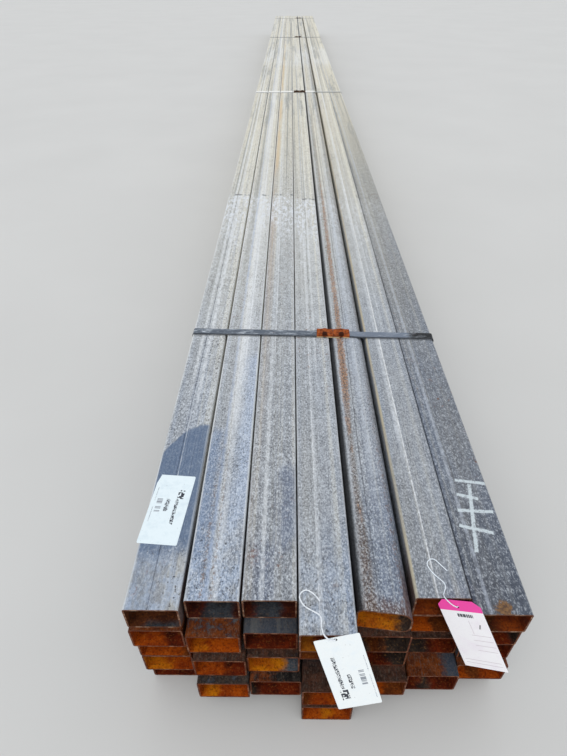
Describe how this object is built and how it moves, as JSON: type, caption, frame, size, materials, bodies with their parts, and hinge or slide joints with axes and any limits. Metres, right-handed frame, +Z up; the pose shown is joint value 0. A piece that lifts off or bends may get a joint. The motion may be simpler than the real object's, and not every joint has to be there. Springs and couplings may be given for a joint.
{
  "type": "bundle of rectangular steel tubes",
  "caption": "Bundle of long rectangular steel tubes stacked in layers, held by steel straps with crimped seals, with identification tags at one end.",
  "frame": {"origin": "bottom centre of the bundle's box, between the undersides of the straps", "axes": "+X across the bundle to the right as seen from the tagged ends, +Y along the tubes away from the tagged ends, +Z up"},
  "size_m": [0.7448, 12.313, 0.3548],
  "materials": {
    "mill_steel": "matt grey mill scale, rust inside",
    "odd_tube_steel": "matt grey mill scale with a rust streak",
    "strap_steel": "blued band, weathered",
    "seal_rust": "heavy rust",
    "tag_plastic": "matt white",
    "card": "matt white with a pink head",
    "hook_wire": "white coated wire"
  },
  "bodies": {
    "root": {"tube_layer1_no1": "mill_steel", "tube_layer1_no2": "mill_steel", "tube_layer1_no3": "mill_steel", "tube_layer1_no4": "mill_steel", "tube_layer1_no6": "mill_steel", "tube_layer1_no7": "mill_steel", "tube_layer2_no1": "mill_steel", "tube_layer2_no2": "mill_steel", "tube_layer2_no3": "mill_steel", "tube_layer2_no4": "mill_steel", "tube_layer2_no5": "mill_steel", "tube_layer2_no6": "mill_steel", "tube_layer2_no7": "mill_steel", "tube_layer3_no1": "mill_steel", "tube_layer3_no2": "mill_steel", "tube_layer3_no3": "mill_steel", "tube_layer3_no4": "mill_steel", "tube_layer3_no5": "mill_steel", "tube_layer3_no6": "mill_steel", "tube_layer3_no7": "mill_steel", "tube_layer4_no1": "mill_steel", "tube_layer4_no2": "mill_steel", "tube_layer4_no3": "mill_steel", "tube_layer4_no4": "mill_steel", "tube_layer4_no5": "mill_steel", "tube_layer4_no6": "mill_steel", "tube_layer4_no7": "mill_steel", "tube_layer5_no1": "mill_steel", "tube_layer5_no2": "mill_steel", "tube_layer5_no3": "mill_steel", "tube_layer5_no4": "mill_steel", "tube_layer5_no5": "mill_steel", "tube_layer5_no6": "mill_steel", "tube_layer5_no7": "mill_steel", "rounded_tube_layer1_no5": "odd_tube_steel", "strap_1": "strap_steel", "strap_2": "strap_steel", "strap_3": "strap_steel", "strap_4": "strap_steel", "strap_1_seal_a": "seal_rust", "strap_1_seal_b": "seal_rust", "strap_2_seal_a": "seal_rust", "strap_2_seal_b": "seal_rust", "strap_3_seal_a": "seal_rust", "strap_3_seal_b": "seal_rust", "strap_4_seal_a": "seal_rust", "strap_4_seal_b": "seal_rust", "lying_tag": "tag_plastic", "hanging_tag": "tag_plastic", "card_tag": "card", "hanging_tag_hook": "hook_wire", "card_tag_hook": "hook_wire"}
  },
  "joints": []
}
